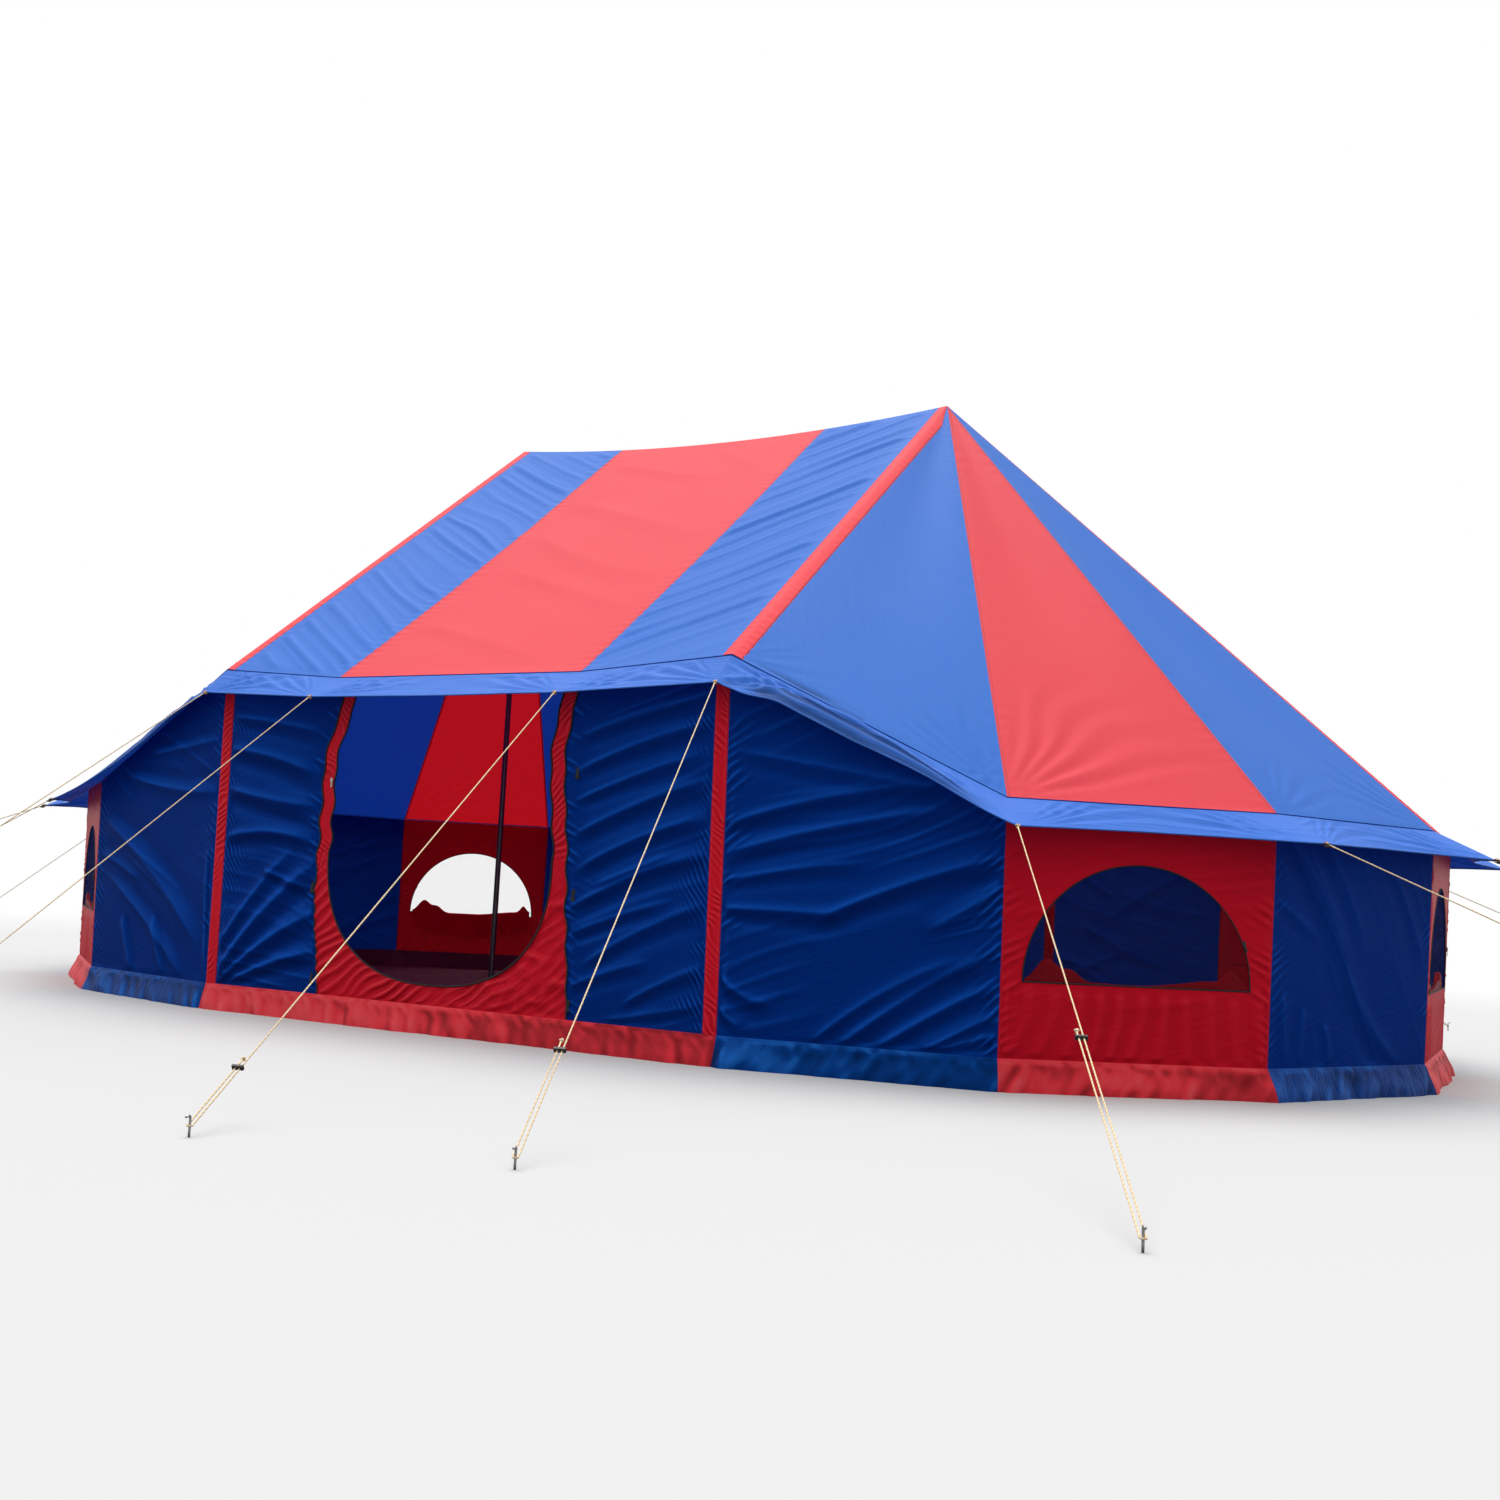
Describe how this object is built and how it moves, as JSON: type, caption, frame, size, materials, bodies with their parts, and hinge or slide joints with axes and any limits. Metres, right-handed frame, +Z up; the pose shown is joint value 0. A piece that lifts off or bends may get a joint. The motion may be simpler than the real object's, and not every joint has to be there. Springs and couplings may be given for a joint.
{
  "type": "tipi tent",
  "caption": "Two-pole group tent with a striped ridge roof, rounded panelled ends, half-moon windows, an open zipped door and guy ropes pegged all round.",
  "frame": {"origin": "on the ground at the middle of the tent, between the two poles", "axes": "+X along the ridge to the right-hand rounded end as seen from the door, -Y out of the door, +Z up"},
  "size_m": [11.6445, 9.5863, 3.5],
  "materials": {
    "blue_cloth": "coated polyester with a fine weave, matt with a slight sheen, blue and red panels",
    "red_cloth": "coated polyester with a fine weave, matt with a slight sheen",
    "black_sheet": "woven polyethylene groundsheet, dull",
    "pole_steel": "dark powder coat, satin",
    "guy_rope": "braided cord",
    "black_plastic": "moulded, satin",
    "zip_metal": "worn nickel"
  },
  "bodies": {
    "tent": {"back_wall": "blue_cloth", "door_panel": "red_cloth", "end_wall_left": "blue_cloth", "end_wall_right": "blue_cloth", "front_wall_left": "blue_cloth", "front_wall_right": "blue_cloth", "groundsheet": "black_sheet", "guy_rope_back_left": "guy_rope", "guy_rope_back_right": "guy_rope", "guy_rope_front_left": "guy_rope", "guy_rope_front_right": "guy_rope", "guy_rope_left_1": "guy_rope", "guy_rope_left_2": "guy_rope", "guy_rope_left_3": "guy_rope", "guy_rope_left_4": "guy_rope", "guy_rope_left_5": "guy_rope", "guy_rope_left_6": "guy_rope", "guy_rope_left_7": "guy_rope", "guy_rope_left_8": "guy_rope", "guy_rope_right_1": "guy_rope", "guy_rope_right_2": "guy_rope", "guy_rope_right_3": "guy_rope", "guy_rope_right_4": "guy_rope", "guy_rope_right_5": "guy_rope", "guy_rope_right_6": "guy_rope", "guy_rope_right_7": "guy_rope", "guy_rope_right_8": "guy_rope", "pole_left": "pole_steel", "pole_right": "pole_steel", "rolled_door": "red_cloth", "roof_end_left": "blue_cloth", "roof_end_right": "blue_cloth", "roof_middle": "blue_cloth"},
    "runner_right_1": {"rope_runner_right_1": "black_plastic"},
    "runner_right_2": {"rope_runner_right_2": "black_plastic"},
    "runner_right_3": {"rope_runner_right_3": "black_plastic"},
    "runner_right_4": {"rope_runner_right_4": "black_plastic"},
    "runner_right_5": {"rope_runner_right_5": "black_plastic"},
    "runner_right_6": {"rope_runner_right_6": "black_plastic"},
    "runner_right_7": {"rope_runner_right_7": "black_plastic"},
    "runner_right_8": {"rope_runner_right_8": "black_plastic"},
    "runner_left_1": {"rope_runner_left_1": "black_plastic"},
    "runner_left_2": {"rope_runner_left_2": "black_plastic"},
    "runner_left_3": {"rope_runner_left_3": "black_plastic"},
    "runner_left_4": {"rope_runner_left_4": "black_plastic"},
    "runner_left_5": {"rope_runner_left_5": "black_plastic"},
    "runner_left_6": {"rope_runner_left_6": "black_plastic"},
    "runner_left_7": {"rope_runner_left_7": "black_plastic"},
    "runner_left_8": {"rope_runner_left_8": "black_plastic"},
    "runner_front_left": {"rope_runner_front_left": "black_plastic"},
    "runner_front_right": {"rope_runner_front_right": "black_plastic"},
    "runner_back_left": {"rope_runner_back_left": "black_plastic"},
    "runner_back_right": {"rope_runner_back_right": "black_plastic"},
    "door_pull": {"door_zip_pull": "zip_metal"},
    "window_pull_right_1_body": {"window_pull_right_1": "black_plastic"},
    "window_pull_right_2_body": {"window_pull_right_2": "black_plastic"},
    "window_pull_right_3_body": {"window_pull_right_3": "black_plastic"},
    "window_pull_left_1_body": {"window_pull_left_1": "black_plastic"},
    "window_pull_left_2_body": {"window_pull_left_2": "black_plastic"},
    "window_pull_left_3_body": {"window_pull_left_3": "black_plastic"}
  },
  "joints": [
    {"name": "runner_right_1_slide", "type": "slide", "parent": "tent", "child": "runner_right_1", "axis": [0.2696, -0.8009, -0.5348], "range_m": [0, 0.15]},
    {"name": "runner_right_2_slide", "type": "slide", "parent": "tent", "child": "runner_right_2", "axis": [0.3858, -0.8457, -0.3688], "range_m": [0, 0.15]},
    {"name": "runner_right_3_slide", "type": "slide", "parent": "tent", "child": "runner_right_3", "axis": [0.8626, -0.3266, -0.3864], "range_m": [0, 0.15]},
    {"name": "runner_right_4_slide", "type": "slide", "parent": "tent", "child": "runner_right_4", "axis": [0.8552, -0.1519, -0.4956], "range_m": [0, 0.15]},
    {"name": "runner_right_5_slide", "type": "slide", "parent": "tent", "child": "runner_right_5", "axis": [0.8502, 0.1832, -0.4935], "range_m": [0, 0.15]},
    {"name": "runner_right_6_slide", "type": "slide", "parent": "tent", "child": "runner_right_6", "axis": [0.8351, 0.417, -0.3588], "range_m": [0, 0.15]},
    {"name": "runner_right_7_slide", "type": "slide", "parent": "tent", "child": "runner_right_7", "axis": [0.4445, 0.7903, -0.4217], "range_m": [0, 0.15]},
    {"name": "runner_right_8_slide", "type": "slide", "parent": "tent", "child": "runner_right_8", "axis": [0.2611, 0.7352, -0.6255], "range_m": [0, 0.15]},
    {"name": "runner_left_1_slide", "type": "slide", "parent": "tent", "child": "runner_left_1", "axis": [-0.1278, -0.7943, -0.594], "range_m": [0, 0.15]},
    {"name": "runner_left_2_slide", "type": "slide", "parent": "tent", "child": "runner_left_2", "axis": [-0.5454, -0.624, -0.5596], "range_m": [0, 0.15]},
    {"name": "runner_left_3_slide", "type": "slide", "parent": "tent", "child": "runner_left_3", "axis": [-0.5834, -0.7163, -0.3828], "range_m": [0, 0.15]},
    {"name": "runner_left_4_slide", "type": "slide", "parent": "tent", "child": "runner_left_4", "axis": [-0.7833, -0.2417, -0.5727], "range_m": [0, 0.15]},
    {"name": "runner_left_5_slide", "type": "slide", "parent": "tent", "child": "runner_left_5", "axis": [-0.7857, 0.2339, -0.5727], "range_m": [0, 0.15]},
    {"name": "runner_left_6_slide", "type": "slide", "parent": "tent", "child": "runner_left_6", "axis": [-0.7294, 0.5164, -0.4487], "range_m": [0, 0.15]},
    {"name": "runner_left_7_slide", "type": "slide", "parent": "tent", "child": "runner_left_7", "axis": [-0.4399, 0.7867, -0.4331], "range_m": [0, 0.15]},
    {"name": "runner_left_8_slide", "type": "slide", "parent": "tent", "child": "runner_left_8", "axis": [-0.2665, 0.7333, -0.6255], "range_m": [0, 0.15]},
    {"name": "runner_front_left_slide", "type": "slide", "parent": "tent", "child": "runner_front_left", "axis": [-0.0133, -0.7997, -0.6002], "range_m": [0, 0.15]},
    {"name": "runner_front_right_slide", "type": "slide", "parent": "tent", "child": "runner_front_right", "axis": [0.2181, -0.8357, -0.504], "range_m": [0, 0.15]},
    {"name": "runner_back_left_slide", "type": "slide", "parent": "tent", "child": "runner_back_left", "axis": [-0.0661, 0.7746, -0.629], "range_m": [0, 0.15]},
    {"name": "runner_back_right_slide", "type": "slide", "parent": "tent", "child": "runner_back_right", "axis": [0.0602, 0.7751, -0.629], "range_m": [0, 0.15]},
    {"name": "door_zip_slide", "type": "slide", "parent": "tent", "child": "door_pull", "axis": [0, 0.0223, -0.9998], "range_m": [0, 0.55]},
    {"name": "window_pull_right_1_zip", "type": "hinge", "parent": "tent", "child": "window_pull_right_1_body", "pos_m": [3.02401, -1.82339, 0.425], "axis": [0.5936, -0.8041, -0.0334], "range_deg": [-18, 152]},
    {"name": "window_pull_right_2_zip", "type": "hinge", "parent": "tent", "child": "window_pull_right_2_body", "pos_m": [3.97262, 0, 0.425], "axis": [0.9994, 0, -0.0351], "range_deg": [-18, 152]},
    {"name": "window_pull_right_3_zip", "type": "hinge", "parent": "tent", "child": "window_pull_right_3_body", "pos_m": [3.02401, 1.82339, 0.425], "axis": [0.5936, 0.8041, -0.0334], "range_deg": [-18, 152]},
    {"name": "window_pull_left_1_zip", "type": "hinge", "parent": "tent", "child": "window_pull_left_1_body", "pos_m": [-3.02401, -1.82339, 0.425], "axis": [-0.5936, -0.8041, -0.0334], "range_deg": [-18, 152]},
    {"name": "window_pull_left_2_zip", "type": "hinge", "parent": "tent", "child": "window_pull_left_2_body", "pos_m": [-3.97262, 0, 0.425], "axis": [-0.9994, 0, -0.0351], "range_deg": [-18, 152]},
    {"name": "window_pull_left_3_zip", "type": "hinge", "parent": "tent", "child": "window_pull_left_3_body", "pos_m": [-3.02401, 1.82339, 0.425], "axis": [-0.5936, 0.8041, -0.0334], "range_deg": [-18, 152]}
  ]
}
